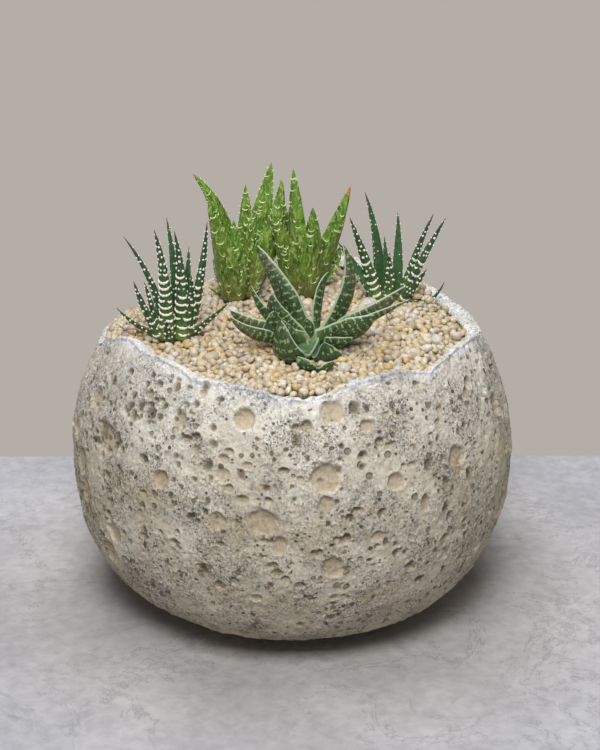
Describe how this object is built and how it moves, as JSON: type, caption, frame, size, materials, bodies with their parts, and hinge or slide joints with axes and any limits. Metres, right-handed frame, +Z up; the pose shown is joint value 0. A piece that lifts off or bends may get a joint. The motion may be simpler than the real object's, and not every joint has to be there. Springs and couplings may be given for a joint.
{
  "type": "planted succulent bowl",
  "caption": "Round cast-stone bowl planter with a pitted surface and a broken wavy rim, gravel topped and planted with small succulents.",
  "frame": {"origin": "on the surface it stands on, under the middle of the bowl", "axes": "+Z up, the planter's front faces -Y, +X to the right seen from the front"},
  "size_m": [0.2302, 0.2301, 0.2221],
  "materials": {
    "cast_stone": "matte",
    "felt": "matte",
    "bung_rubber": "satin",
    "mesh_plastic": "matte",
    "expanded_clay": "matte",
    "soil": "matte",
    "quartz_gravel": "satin",
    "haworthia_leaf": "satin",
    "aloe_leaf": "satin",
    "gasteria_leaf": "satin"
  },
  "bodies": {
    "planter": {"bowl_shell": "cast_stone", "foot_pads": "felt", "drain_mesh": "mesh_plastic", "drainage_layer": "expanded_clay", "potting_soil": "soil", "gravel_bed": "quartz_gravel", "large_pebbles": "quartz_gravel", "haworthia_left_rootball": "soil", "haworthia_left_crown": "haworthia_leaf", "haworthia_left_outer_leaves": "haworthia_leaf", "haworthia_left_inner_leaves": "haworthia_leaf", "haworthia_right_rootball": "soil", "haworthia_right_crown": "haworthia_leaf", "haworthia_right_outer_leaves": "haworthia_leaf", "haworthia_right_inner_leaves": "haworthia_leaf", "aloe_left_rootball": "soil", "aloe_left_crown": "aloe_leaf", "aloe_left_outer_leaves": "aloe_leaf", "aloe_left_inner_leaves": "aloe_leaf", "aloe_right_rootball": "soil", "aloe_right_crown": "aloe_leaf", "aloe_right_outer_leaves": "aloe_leaf", "aloe_right_inner_leaves": "aloe_leaf", "gasteria_rootball": "soil", "gasteria_crown": "gasteria_leaf", "gasteria_upper_leaves": "gasteria_leaf", "gasteria_lower_leaves": "gasteria_leaf"},
    "plug": {"drain_plug": "bung_rubber"}
  },
  "joints": [
    {"name": "plug_pull", "type": "slide", "parent": "planter", "child": "plug", "axis": [0, 0, -1], "range_m": [0, 0.02]}
  ]
}
